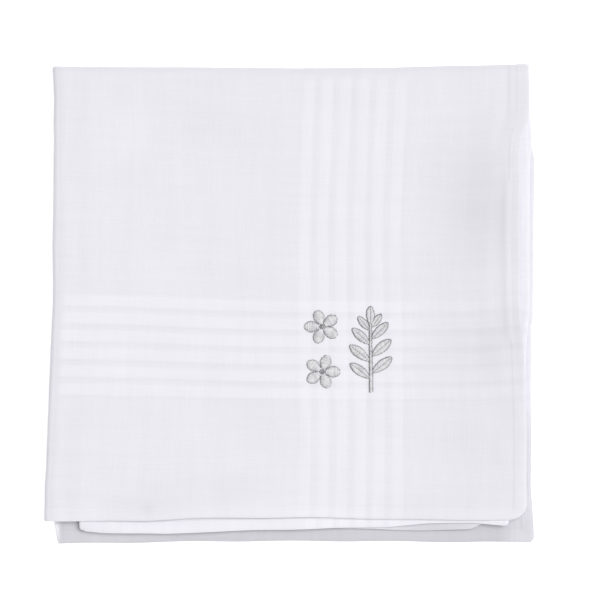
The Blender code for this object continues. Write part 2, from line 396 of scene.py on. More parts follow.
class HandkerchiefStage(bpy.types.PropertyGroup):
    floor_side: length_setting("Floor side", "Side of the square floor", 3000, 1000, 20000)
    floor_colour: colour_setting("Floor", "Colour of the floor", 0.93, 0.93, 0.93)
    floor_glow: strength_setting("Floor glow", "Light given off by the floor, as from a lit table", 0.40, 2)
    key_strength: strength_setting("Key light", "Strength of the large soft light", 2.39, 50)
    key_softness: bpy.props.FloatProperty(
        name="Key softness", description="How wide the key light is", default=math.radians(50), min=0,
        max=math.pi, subtype="ANGLE")
    key_direction: bpy.props.FloatVectorProperty(
        name="Key direction", description="Where the key light stands", subtype="DIRECTION",
        default=(0.5, 0.15, 1.0))
    dome_strength: strength_setting("Dome light", "Strength of the even light from all round", 0.45, 5)
    camera_height: length_setting(
        "Camera height", "Height of the camera above the top layer", 2000, 500, 10000)
    camera_frame: length_setting(
        "Camera frame", "Width that the camera takes in at the top layer", 264, 100, 2000)


# ---- Shape of the folded cloth ----
def rise(value, start, end):
    """0 before start, 1 after end, and a smooth rise between them."""
    share = max(0.0, min(1.0, (value - start) / (end - start)))
    return share * share * (3 - 2 * share)


def swell(distance, run):
    """1 at no distance, and about a third as much again with every further run."""
    return math.exp(-max(distance, 0) / run)


def round_corner(across, along, top_radius):
    """Draws a point near one of the cloth's corners in, so that the corner is round."""
    radius = top_radius if across > 0 and along > 0 else LOWER_CORNER
    square = HALF_CLOTH - radius
    in_x = abs(across) - square
    in_y = abs(along) - square
    if in_x <= 0 or in_y <= 0:
        return across, along
    ease = max(in_x, in_y) / math.hypot(in_x, in_y)
    return (
        math.copysign(square + in_x * ease, across),
        math.copysign(square + in_y * ease, along),
    )


def read_row(table, place):
    """All of a table's columns at a place, on the straight line between the two rows beside it."""
    for row, following in zip(table, table[1:]):
        if place <= following[0]:
            share = max(0.0, (place - row[0]) / (following[0] - row[0]))
            return type(row)(*(start + (end - start) * share for start, end in zip(row, following)))
    return table[-1]


def layer_shares(outer, upper):
    """How much of each layer, 1 to 4, a point belongs to; it is shared only inside the folds."""
    return (upper * outer, upper * (1 - outer), (1 - upper) * (1 - outer), (1 - upper) * outer)


def softened_row(table, place):
    """A table's columns averaged over a stretch, as the inside of the cloth evens out its edge's turns."""
    rows = [read_row(table, place + offset) for offset in SOFTEN_OVER]
    return type(rows[0])(*(sum(column) / len(rows) for column in zip(*rows)))


def ease(table, folds, place, share_in, shares):
    """How far a point stands off its place in a true square, by how far in it is from the fold to the hem."""
    row = read_row(table, place / MM)
    even = softened_row(table, place / MM)
    edge_share = share_in ** EDGE_POWER
    total = 0.0
    for share, fold_name, hem_name in zip(shares, folds, HEMS):
        fold = getattr(row, fold_name)
        hem = getattr(row, hem_name)
        even_hem = getattr(even, hem_name)
        total += share * (fold + (even_hem - fold) * share_in + (hem - even_hem) * edge_share)
    return total * MM


def crease_height(right, down):
    """What the creases add at a place on the top layer."""
    height = 0.0
    for crease in CREASES:
        run_right = crease.right_2 - crease.right_1
        run_down = crease.down_2 - crease.down_1
        to_right = right - crease.right_1
        to_down = down - crease.down_1
        share = (to_right * run_right + to_down * run_down) / (run_right ** 2 + run_down ** 2)
        share = max(0.0, min(1.0, share))
        gap = math.hypot(to_right - run_right * share, to_down - run_down * share)
        if gap < 3 * crease.width:
            height += crease.height * math.exp(-((gap / crease.width) ** 2))
    return height


def hem_pucker(distance_in, place):
    """The small gathers that the stitching draws along a hem."""
    if distance_in > PUCKER_END:
        return 0.0
    reach = math.exp(-(((distance_in - PUCKER_IN) / PUCKER_SPREAD) ** 2))
    uneven = 1.7 * math.sin(place * 0.37) + 0.8 * math.sin(place * 0.11)
    return PUCKER_HEIGHT * reach * math.sin(place + uneven)


def top_relief(right, down):
    """How far the top layer stands above its even height, at a place on the folded cloth."""
    right /= MM
    down /= MM
    to_right = FOLDED_SIDE / MM - right
    to_near = FOLDED_SIDE / MM - down
    height = -FIELD_SAG * (
        (1 - swell(right, FOLD_RUN)) * (1 - swell(down, FOLD_RUN))
        * (1 - swell(to_right, HEM_RUN)) * (1 - swell(to_near, HEM_RUN)))
    height += LEFT_SWELL * swell(right, SWELL_RUN) + FAR_SWELL * swell(down, SWELL_RUN)
    height -= FAR_DROOP * math.exp(-((down / DROOP_RUN) ** 2))
    height += INNER_STEP * (rise(right, *INNER_FOLD) - 1)
    for hollow in HOLLOWS:
        spread = math.hypot(
            (right - hollow.right) / hollow.reach_right, (down - hollow.down) / hollow.reach_down)
        if spread < 3:
            height += hollow.height * math.exp(-spread * spread)
    height += crease_height(right, down)
    height += WIDE_RIPPLE * math.sin(right / 11.3 + 1.3) * math.sin(down / 9.7 + 0.4)
    height += FINE_RIPPLE * math.sin(right / 4.1 + down / 6.3 + 2.0) * math.sin(down / 5.2 - right / 8.8)
    height += hem_pucker(to_right, down) + hem_pucker(to_near, right * 0.93 + 2)
    return height * MM


def loose_wave(right, down, shares):
    """How far each layer's free edges wave up and down on their own."""
    looseness = rise(max(right, down), LOOSE_FROM, FOLDED_SIDE)
    if looseness == 0:
        return 0.0
    place = (right - down) / MM * math.tau
    return MM * looseness * sum(
        share * wave.height * math.sin(place / wave.length + wave.phase)
        for share, wave in zip(shares, LAYER_WAVES))


def fold_point(across, along, corner):
    """The place in the folded cloth of a point of the flat cloth."""
    across, along = round_corner(across, along, corner)
    first_turn = max(-1, min(1, along / FIRST_BEND)) * math.pi / 2
    second_turn = max(-1, min(1, across / SECOND_BEND)) * math.pi / 2

    down_share = max(abs(along) - FIRST_BEND, 0) / (HALF_CLOTH - FIRST_BEND)
    down = FIRST_RADIUS * (1 - math.cos(first_turn)) + down_share * (FOLDED_SIDE - FIRST_RADIUS)
    radius = SECOND_RADIUS + FIRST_RADIUS * math.sin(first_turn)

    across_share = max(abs(across) - SECOND_BEND, 0) / (HALF_CLOTH - SECOND_BEND)
    right = OUTER_RADIUS - radius * math.cos(second_turn) + across_share * (FOLDED_SIDE - OUTER_RADIUS)
    height = MID_HEIGHT + radius * math.sin(second_turn)

    outer = (1 + math.sin(first_turn)) / 2
    second_degrees = math.degrees(second_turn)
    side_shares = layer_shares(outer, rise(second_degrees, *SIDE_STEP))
    end_shares = layer_shares(outer, rise(second_degrees, *END_STEP))

    level = (height - LAYER_4_HEIGHT) / STACK_HEIGHT
    height += level * top_relief(right, down) + loose_wave(right, down, side_shares)

    x = -HALF_SQUARE + right + ease(SIDE_EDGES, SIDE_FOLDS, down, across_share, side_shares)
    y = HALF_SQUARE - down + ease(END_EDGES, END_FOLDS, right, down_share, end_shares)
    drift = math.cos(math.pi * min(right / HALF_SQUARE, 1)) * (1 - rise(right, DRIFT_END, FOLDED_SIDE))
    y += GRAIN_DRIFT * MM * drift * math.sin(math.pi * down_share)
    x -= THIN_CLOTH_OUT * (1 - across_share)
    y += THIN_CLOTH_OUT * (1 - down_share)
    x += EDGE_WOBBLE * MM * across_share ** WOBBLE_POWER * math.sin(down / (6.1 * MM) + 5 * level)
    y += EDGE_WOBBLE * MM * down_share ** WOBBLE_POWER * math.sin(right / (7.3 * MM) + 4 * level)
    return Vector((x, y, height))


def stripe_share(place, first, settings):
    """How much of a satin stripe there is at a distance from a fold, from 0 to 1."""
    local = (abs(place) - first) / settings.stripe_period
    if not 0 <= local < STRIPE_COUNT:
        return 0.0
    local = (local % 1) * settings.stripe_period / MM
    width = settings.stripe_width / MM
    return rise(local, 0, STRIPE_RISE) * (1 - rise(local, width - STRIPE_FALL, width))


def cloth_thickness(across, along, settings):
    """The cloth's thickness: thin in the field, a little more in the stripes, and most in the hem."""
    inside = (HALF_CLOTH - max(abs(across), abs(along))) / MM
    hem_width = settings.hem_width / MM
    stripes = max(stripe_share(across, settings.stripe_across, settings),
                  stripe_share(along, settings.stripe_along, settings))
    field = settings.body_thickness + settings.stripe_relief * stripes
    hem_share = 1 - rise(inside - hem_width, *HEM_STEP)
    groove = math.exp(-(((inside - hem_width + GROOVE_IN) / GROOVE_WIDTH) ** 2))
    edge = 1 - rise(inside, *EDGE_ROUND)
    hem = settings.hem_thickness * (1 - GROOVE_DEPTH * groove) * (1 - EDGE_DEPTH * edge)
    return field + (hem - field) * hem_share


def spaced(start, end, step):
    """Even steps from start up to just before end, each about step long."""
    count = max(1, round((end - start) / step))
    return [start + (end - start) * number / count for number in range(count)]


def grid_lines(bend, first, settings):
    """Every grid line's place on the flat cloth, from hem to hem: close at bends, stripes and hems."""
    period = settings.stripe_period / MM
    width = settings.stripe_width / MM
    first /= MM
    stripe_lines = (0, STRIPE_RISE / 2, STRIPE_RISE, width - STRIPE_FALL, width)
    straight = [*FOLD_LINES, *spaced(FIELD_FROM, first - 0.6, FIELD_PITCH)]
    for number in range(STRIPE_COUNT):
        straight += [first + number * period + line for line in stripe_lines]
    straight += spaced(first + STRIPE_COUNT * period, HALF_CLOTH / MM - HEM_LINES[0] - 1, BORDER_PITCH)
    straight += [HALF_CLOTH / MM - inside for inside in HEM_LINES]
    one_side = [bend * step / BEND_STEPS for step in range(1, BEND_STEPS + 1)]
    one_side += [line * MM for line in straight]
    return [-line for line in reversed(one_side)] + [0.0] + one_side


def surface_frame(across, along, corner):
    """The cloth's place and its own axes at a point: to the right, up the cloth, and out of its top."""
    step = 0.4 * MM
    centre = fold_point(across, along, corner)
    right = (fold_point(across + step, along, corner) - fold_point(across - step, along, corner)).normalized()
    near = (fold_point(across, along + step, corner) - fold_point(across, along - step, corner)).normalized()
    out = near.cross(right).normalized()
    axes = Matrix((right, out.cross(right), out)).transposed().to_4x4()
    return Matrix.Translation(centre) @ axes


# ---- Nodes ----
class NodeBench:
    """Places nodes in one tree and wires them, so that a material reads as a list of steps."""

    def __init__(self, tree):
        self.tree = tree

    def add(self, kind, **settings):
        node = self.tree.nodes.new(kind)
        for name, value in settings.items():
            setattr(node, name, value)
        return node

    def feed(self, socket, value):
        if isinstance(value, bpy.types.NodeSocket):
            self.tree.links.new(value, socket)
        else:
            socket.default_value = value

    def fill(self, node, values):
        """Feeds several of a node's inputs, by their names."""
        for name, value in values.items():
            self.feed(node.inputs[name], value)

    def math(self, operation, *values):
        node = self.add("ShaderNodeMath", operation=operation)
        for socket, value in zip(node.inputs, values):
            self.feed(socket, value)
        return node.outputs["Value"]

    def total(self, *values):
        return reduce(partial(self.math, "ADD"), values)

    def product(self, *values):
        return reduce(partial(self.math, "MULTIPLY"), values)

    def ramp(self, value, start, end, low=0.0, high=1.0):
        """A smooth step from low to high between two values."""
        node = self.add("ShaderNodeMapRange", interpolation_type="SMOOTHSTEP")
        self.fill(node, {"Value": value, "From Min": start, "From Max": end, "To Min": low, "To Max": high})
        return node.outputs["Result"]

    def scaled(self, vector, scale):
        node = self.add("ShaderNodeVectorMath", operation="MULTIPLY")
        self.feed(node.inputs[0], vector)
        node.inputs[1].default_value = scale
        return node.outputs["Vector"]

    def noise(self, vector, scale, detail=1.0):
        """Noise about zero, in a place that is first scaled along each axis."""
        node = self.add("ShaderNodeTexNoise")
        place = self.scaled(vector, scale)
        self.fill(node, {"Vector": place, "Scale": 1.0, "Detail": detail, "Roughness": 0.5})
        return self.math("SUBTRACT", node.outputs["Fac"], 0.5)

    def bump(self, height, strength, distance):
        node = self.add("ShaderNodeBump")
        self.fill(node, {"Height": height, "Strength": strength, "Distance": distance})
        return node.outputs["Normal"]

    def group(self, tree, **values):
        node = self.add("ShaderNodeGroup")
        node.node_tree = tree
        self.fill(node, {name.replace("_", " ").capitalize(): value for name, value in values.items()})
        return node.outputs


def new_group(name, vectors, numbers, outputs):
    """An empty shader node group and the bench to build it on. Its numbers come with their defaults."""
    tree = bpy.data.node_groups.new(name, "ShaderNodeTree")
    for label in vectors:
        tree.interface.new_socket(label, in_out="INPUT", socket_type="NodeSocketVector")
    for label, default in numbers.items():
        socket = tree.interface.new_socket(label, in_out="INPUT", socket_type="NodeSocketFloat")
        socket.default_value = default
    for label in outputs:
        tree.interface.new_socket(label, in_out="OUTPUT", socket_type="NodeSocketFloat")
    bench = NodeBench(tree)
    return tree, bench, bench.add("NodeGroupInput").outputs, bench.add("NodeGroupOutput").inputs


def weave_group():
    """Plain weave of uneven yarns, from a place in millimetres on the flat cloth."""
    tree, bench, given, out = new_group(
        "plain weave", ["Place"], {"Yarn pitch": 0.42}, ["Height", "Tone"])
    place = given["Place"]
    split = bench.add("ShaderNodeSeparateXYZ")
    bench.feed(split.inputs[0], place)
    turn = bench.math("DIVIDE", math.pi, given["Yarn pitch"])

    def both_ways(across_yarn, along_yarn, detail=1.0):
        """Noise drawn out along the lengthwise yarns, and the same along the crosswise ones."""
        return [bench.noise(place, (across_yarn, along_yarn, 0), detail),
                bench.noise(place, (along_yarn, across_yarn, 0), detail)]

    bend_x, bend_y = both_ways(0.25, 0.06)
    wave_x, wave_y = (
        bench.math("COSINE", bench.product(bench.total(axis, bench.product(bend, YARN_BEND)), turn))
        for axis, bend in ((split.outputs["X"], bend_x), (split.outputs["Y"], bend_y)))
    over = bench.ramp(bench.product(wave_x, wave_y), *YARNS_SWAP)
    lengthwise = bench.product(bench.math("ABSOLUTE", wave_x), over)
    crosswise = bench.product(bench.math("ABSOLUTE", wave_y), bench.math("SUBTRACT", 1.0, over))
    slubs = bench.total(*both_ways(1.6, 0.05, detail=2.0))
    patches = bench.total(*both_ways(0.22, 0.018))
    yarns = bench.total(lengthwise, crosswise)
    bench.feed(out["Height"], bench.total(yarns, bench.product(slubs, SLUB_HEIGHT)))
    # painted shade where the yarns dip under each other, lighter on their crests
    grain = bench.product(bench.math("SUBTRACT", yarns, YARNS_MEAN), YARN_DIP_SHADE)
    bench.feed(out["Tone"], bench.total(
        bench.product(slubs, SLUB_TONE), bench.product(patches, PATCH_TONE), grain))
    return tree


def stripe_group():
    """One run of satin stripes across one axis, each with soft sides and a thin line along its far side."""
    numbers = {"Distance": 0.0, "First": 110.0, "Period": 8.0, "Width": 6.5}
    tree, bench, given, out = new_group("satin stripes", [], numbers, ["Satin", "Line"])
    start = bench.math("SUBTRACT", given["Distance"], given["First"])
    turn = bench.math("DIVIDE", start, given["Period"])
    local = bench.product(bench.math("FRACT", turn), given["Period"])
    within = bench.product(
        bench.math("GREATER_THAN", turn, 0.0), bench.math("LESS_THAN", turn, float(STRIPE_COUNT)))
    width = given["Width"]
    climb = bench.ramp(local, 0.0, STRIPE_RISE)
    drop = bench.ramp(local, bench.math("SUBTRACT", width, STRIPE_FALL), width, 1.0, 0.0)
    bench.feed(out["Satin"], bench.product(climb, drop, within))
    past = bench.math("SUBTRACT", local, width)
    line_in = bench.ramp(past, *LINE_IN)
    line_out = bench.ramp(past, *LINE_OUT, 1.0, 0.0)
    bench.feed(out["Line"], bench.product(line_in, line_out, within))
    return tree


def thread_group():
    """Twisted thread, from the thread's own map: its plies' height, and a tone with painted shade in the
    grooves between them.
    """
    tree, bench, given, out = new_group("thread twist", ["Map"], {"Turns": 5.0}, ["Height", "Tone"])
    split = bench.add("ShaderNodeSeparateXYZ")
    bench.feed(split.inputs[0], given["Map"])
    twist = bench.total(bench.product(split.outputs["Y"], given["Turns"], math.tau),
                        bench.product(split.outputs["X"], 2 * math.tau))
    plies = bench.math("ABSOLUTE", bench.math("SINE", twist))
    bench.feed(out["Height"], plies)
    # painted shade in the grooves between the plies
    bench.feed(out["Tone"], bench.product(bench.math("SUBTRACT", plies, PLIES_MEAN), PLY_GROOVE_SHADE))
    return tree


def painted_shade_total(bench, place):
    """The painted shades' total tone at a place on the flat cloth."""
    tones = []
    for shade in PAINTED_SHADES:
        offset = bench.add("ShaderNodeVectorMath", operation="SUBTRACT")
        bench.feed(offset.inputs[0], place)
        offset.inputs[1].default_value = (shade.across, shade.along, 0)
        reach = bench.scaled(offset.outputs["Vector"], (1 / shade.reach_across, 1 / shade.reach_along, 0))
        length = bench.add("ShaderNodeVectorMath", operation="LENGTH")
        bench.feed(length.inputs[0], reach)
        tones.append(bench.ramp(length.outputs["Value"], 0.0, 1.0, shade.tone, 0.0))
    return bench.total(*tones)


def new_material(name):
    material = bpy.data.materials.new(name)
    material.use_nodes = True
    shader = material.node_tree.nodes["Principled BSDF"]
    return material, NodeBench(material.node_tree), shader


def toned(bench, colour, tone):
    """A colour made lighter or darker by one plus the tone."""
    node = bench.add("ShaderNodeVectorMath", operation="SCALE")
    node.inputs[0].default_value = colour[:3]
    bench.feed(node.inputs["Scale"], bench.math("ADD", tone, 1.0))
    return node.outputs["Vector"]


def linen_material(settings):
    """Woven linen: uneven yarns, satin stripes, denser hems, painted shade at the folds' rims and painted
    light at the left fold's turn, patches of painted shade, the lowest layer's near strip in painted shadow,
    and the lighter stretch where more layers back the top one."""
    material, bench, shader = new_material("woven linen")
    flat = bench.add("ShaderNodeUVMap", uv_map=FLAT_MAP)
    centred = bench.add("ShaderNodeMapping")
    bench.feed(centred.inputs["Vector"], flat.outputs["UV"])
    side = FLAT_SIDE / MM
    bench.fill(centred, {"Location": (-side / 2, -side / 2, 0), "Scale": (side, side, 1)})
    place = centred.outputs["Vector"]
    split = bench.add("ShaderNodeSeparateXYZ")
    bench.feed(split.inputs[0], place)
    across = bench.math("ABSOLUTE", split.outputs["X"])
    along = bench.math("ABSOLUTE", split.outputs["Y"])

    weave = bench.group(weave_group(), place=place, yarn_pitch=settings.yarn_pitch / MM)
    stripes = stripe_group()
    pattern = dict(period=settings.stripe_period / MM, width=settings.stripe_width / MM)
    lengthwise = bench.group(stripes, distance=across, first=settings.stripe_across / MM, **pattern)
    crosswise = bench.group(stripes, distance=along, first=settings.stripe_along / MM, **pattern)
    clear_far = bench.ramp(along, *CLEAR_FAR)
    clear_left = bench.ramp(across, *CLEAR_LEFT)
    past_crossing = bench.ramp(across, *CROSSING_END, 1.0, PAST_CROSSING)
    half = HALF_CLOTH / MM
    lowest = bench.product(
        bench.ramp(split.outputs["X"], *LOWEST_ACROSS), bench.ramp(split.outputs["Y"], *LOWEST_ALONG))
    near_strip = bench.product(lowest, bench.ramp(bench.math("SUBTRACT", half, along), *STRIP_INSIDE))
    # the stripes vary at random, and fade in the near strip's painted shade
    stripe_wear_and_shade = bench.math("ADD", 1.0, bench.product(bench.noise(place, (0.03, 0.05, 0)), UNEVEN_WEAR))
    stripe_wear_and_shade = bench.math("SUBTRACT", stripe_wear_and_shade, bench.product(near_strip, STRIPES_LOST_IN_SHADE))

    def both(output):
        return bench.product(bench.total(
            bench.product(lengthwise[output], clear_far, LENGTHWISE_SHARE),
            bench.product(crosswise[output], clear_left, past_crossing)), stripe_wear_and_shade)

    satin, line = both("Satin"), both("Line")
    inside = bench.math("SUBTRACT", half, bench.math("MAXIMUM", across, along))
    hem_width = settings.hem_width / MM
    hem = bench.ramp(bench.math("SUBTRACT", inside, hem_width), *HEM_BLEND)
    seam = bench.math("ABSOLUTE", bench.math("SUBTRACT", inside, hem_width - GROOVE_IN))
    seam = bench.ramp(seam, *SEAM_SPREAD, 1.0, 0.0)
    backed = bench.product(bench.ramp(across, *BACKED_ACROSS), bench.ramp(along, *BACKED_ALONG))
    cloudy = bench.noise(place, (0.028, 0.024, 0), detail=2.0)
    # painted shade on the lowest layer's near strip
    strip = bench.product(near_strip, bench.ramp(across, *STRIP_RUN, *STRIP_SHADE_TONES),
                          bench.ramp(across, *STRIP_END, 1.0, STRIP_FADE))
    inner_hem = bench.product(hem, bench.math("LESS_THAN", split.outputs["Y"], 0.0))
    # painted shade along the folds' rims, and painted light on the left fold's outermost turn
    rim_shade_and_light = bench.total(bench.ramp(along, *FAR_RIM, FAR_RIM_SHADE, 0.0),
                       bench.ramp(across, *LEFT_RIM, LEFT_RIM_SHADE, 0.0),
                       bench.ramp(across, *LEFT_TURN, LEFT_TURN_LIGHT, 0.0))
    tone = bench.total(
        bench.product(satin, SATIN_TONE), bench.product(line, LINE_TONE), bench.product(hem, HEM_TONE),
        bench.product(seam, SEAM_TONE), bench.product(backed, BACKED_TONE), bench.product(cloudy, CLOUD_TONE),
        bench.product(inner_hem, INNER_HEM_TONE), rim_shade_and_light, strip, painted_shade_total(bench, place), weave["Tone"])
    bench.feed(shader.inputs["Base Color"], toned(bench, settings.linen_colour, tone))
    gloss = bench.ramp(satin, 0.0, 1.0, *LINEN_ROUGHNESS)
    bench.feed(shader.inputs["Roughness"], bench.total(gloss, bench.product(weave["Tone"], -0.8)))
    bench.fill(shader, {"Specular IOR Level": 0.3, "Sheen Weight": 0.12, "Sheen Roughness": 0.5})

    flattened = bench.math("SUBTRACT", 1.0, bench.product(satin, SATIN_FLATNESS))
    relief = bench.product(weave["Height"], flattened)
    bench.feed(shader.inputs["Normal"], bench.bump(relief, strength=0.45, distance=0.06 * MM))
    return material


def thread_material(name, colour, look):
    """A sewing or embroidery thread with its twist, uneven from stitch to stitch, and with painted shade at
    its ends, where it dips into the cloth.
    """
    material, bench, shader = new_material(name)
    own = bench.add("ShaderNodeUVMap", uv_map=THREAD_MAP)
    plies = bench.group(thread_group(), map=own.outputs["UV"], turns=look.turns)
    place = bench.add("ShaderNodeTexCoord").outputs["Object"]
    uneven = bench.noise(place, (500, 500, 500), detail=2.0)
    own_tone = bench.add("ShaderNodeAttribute", attribute_name=STITCH_TONE).outputs["Fac"]
    from_end = bench.add("ShaderNodeAttribute", attribute_name=END_DISTANCE).outputs["Fac"]
    # painted shade where the stitch dips into the cloth
    end_shade = bench.ramp(from_end, *SUNK_SHADE_OVER, look.sunk_tone, 0.0)
    tone = bench.total(
        plies["Tone"], bench.product(uneven, THREAD_UNEVEN), bench.product(own_tone, STITCH_UNEVEN), end_shade)
    bench.feed(shader.inputs["Base Color"], toned(bench, colour, tone))
    bench.feed(shader.inputs["Roughness"], bench.math("SUBTRACT", look.roughness, bench.product(uneven, 0.2)))
    bench.fill(shader, {"Specular IOR Level": 0.5, "Sheen Weight": look.sheen, "Sheen Roughness": 0.4})
    bench.feed(shader.inputs["Normal"], bench.bump(plies["Height"], strength=0.5, distance=look.relief))
    return material


def floor_material(settings):
    """A matt white table with faint unevenness, lit a little from below."""
    material, bench, shader = new_material("white table")
    place = bench.add("ShaderNodeTexCoord").outputs["Object"]
    tone = bench.product(bench.noise(place, (6, 6, 6), detail=3.0), 0.02)
    bench.feed(shader.inputs["Base Color"], toned(bench, settings.floor_colour, tone))
    bench.fill(shader, {
        "Roughness": 0.9, "Specular IOR Level": 0.2, "Emission Color": (1, 1, 1, 1),
        "Emission Strength": settings.floor_glow})
    return material


# ---- Pieces ----
def place_object(name, data):
    """A mesh, light or camera as an object at the origin."""
    holder = bpy.data.objects.new(name, data)
    bpy.context.scene.collection.objects.link(holder)
    return holder


def place_mesh(name, builder, material):
    """A finished bmesh as a smooth object."""
    mesh = bpy.data.meshes.new(name)
    builder.to_mesh(mesh)
    builder.free()
    mesh.shade_smooth()
    mesh.materials.append(material)
    return place_object(name, mesh)


def make_cloth(settings):
    """The whole cloth as a flat grid with its map, folded twice and given its thickness."""
    across_lines = grid_lines(SECOND_BEND, settings.stripe_across, settings)
    along_lines = grid_lines(FIRST_BEND, settings.stripe_along, settings)
    columns = len(across_lines) - 1
    rows = len(along_lines) - 1
    thickest = settings.hem_thickness * WEIGHT_ROOM

    builder = bmesh.new()
    bmesh.ops.create_grid(builder, x_segments=columns, y_segments=rows, size=1)
    thickness = builder.verts.layers.deform.verify()
    flat_map = builder.loops.layers.uv.new(FLAT_MAP)
    for vert in builder.verts:
        across = across_lines[round((vert.co.x + 1) / 2 * columns)]
        along = along_lines[round((vert.co.y + 1) / 2 * rows)]
        vert[thickness][0] = cloth_thickness(across, along, settings) / thickest
        for loop in vert.link_loops:
            loop[flat_map].uv = (across / FLAT_SIDE + 0.5, along / FLAT_SIDE + 0.5)
        vert.co = fold_point(across, along, settings.hem_corner)
    bmesh.ops.recalc_face_normals(builder, faces=builder.faces)

    cloth = place_mesh("linen_cloth", builder, linen_material(settings))
    cloth.vertex_groups.new(name=THICKNESS_GROUP)
    solid = cloth.modifiers.new("cloth thickness", "SOLIDIFY")
    solid.thickness = thickest
    solid.offset = 0
    solid.vertex_group = THICKNESS_GROUP
    solid.use_even_offset = False
    solid.use_rim = True
    return cloth


class Sewing:
    """Gathers stitches into one mesh. Each is shaped on its own first, which keeps hundreds of them quick."""

    def __init__(self):
        self.builder = bmesh.new()
        self.blank = bmesh.new()
        self.random = random.Random(5)
        for mesh in (self.builder, self.blank):
            mesh.loops.layers.uv.new(THREAD_MAP)
            mesh.verts.layers.float.new(END_DISTANCE)
            mesh.verts.layers.float.new(STITCH_TONE)
        bmesh.ops.create_uvsphere(self.blank, u_segments=6, v_segments=6, radius=1, calc_uvs=True)
        self.spare = bpy.data.meshes.new("spare stitch")

    def add(self, placing, length, width, height, arch=0.0):
        """One stitch: a full, round-ended thread along its own X axis."""
        stitch = self.blank.copy()
        end_distance = stitch.verts.layers.float[END_DISTANCE]
        own_tone = stitch.verts.layers.float[STITCH_TONE]
        tone = self.random.uniform(-1, 1)
        for vert in stitch.verts:
            reach = vert.co.z
            vert[end_distance] = (1 - abs(reach)) * length / 2 / MM
            vert[own_tone] = tone
            full = math.sqrt((1 - reach ** 4) / max(1 - reach ** 2, 1e-4))
            vert.co = placing @ Vector((
                reach * length / 2,
                vert.co.x * full * width / 2,
                vert.co.y * full * height / 2 + arch * (1 - reach * reach)))
        stitch.to_mesh(self.spare)
        stitch.free()
        self.builder.from_mesh(self.spare)

    def finish(self, name, material):
        bmesh.ops.recalc_face_normals(self.builder, faces=self.builder.faces)
        self.blank.free()
        bpy.data.meshes.remove(self.spare)
        return place_mesh(name, self.builder, material)


def make_hem_stitching(cloth, thread):
    """Running stitches along all four hems, through the cloth and just proud of both its faces."""
    sewing = Sewing()
    inside = cloth.hem_width - GROOVE_IN * MM
    line = HALF_CLOTH - inside
    pitch = thread.hem_stitch + thread.hem_stitch_gap
    reach = line - ROWS_CLEAR
    count = round(2 * reach / pitch)
    height = cloth_thickness(line, 0, cloth) + STITCH_PROUD
    for number in range(count):
        place = -reach + (number + 0.5) * 2 * reach / count
        sides = ((place, line, 0), (place, -line, 0), (line, place, 90), (-line, place, 90))
        for across, along, turn in sides:
            surface = surface_frame(across, along, cloth.hem_corner)
            placing = surface @ Matrix.Rotation(math.radians(turn), 4, "Z")
            sewing.add(placing, thread.hem_stitch, thread.hem_thread, height)
    material = thread_material("white sewing thread", thread.sewing_colour, SEWING_LOOK)
    return sewing.finish("hem_stitching", material)


def middles(count):
    """The middles of so many equal steps from 0 to 1."""
    return [(number + 0.5) / count for number in range(count)]


def heading(degrees):
    """The direction at an angle from straight to the right."""
    angle = math.radians(degrees)
    return Vector((math.cos(angle), math.sin(angle)))


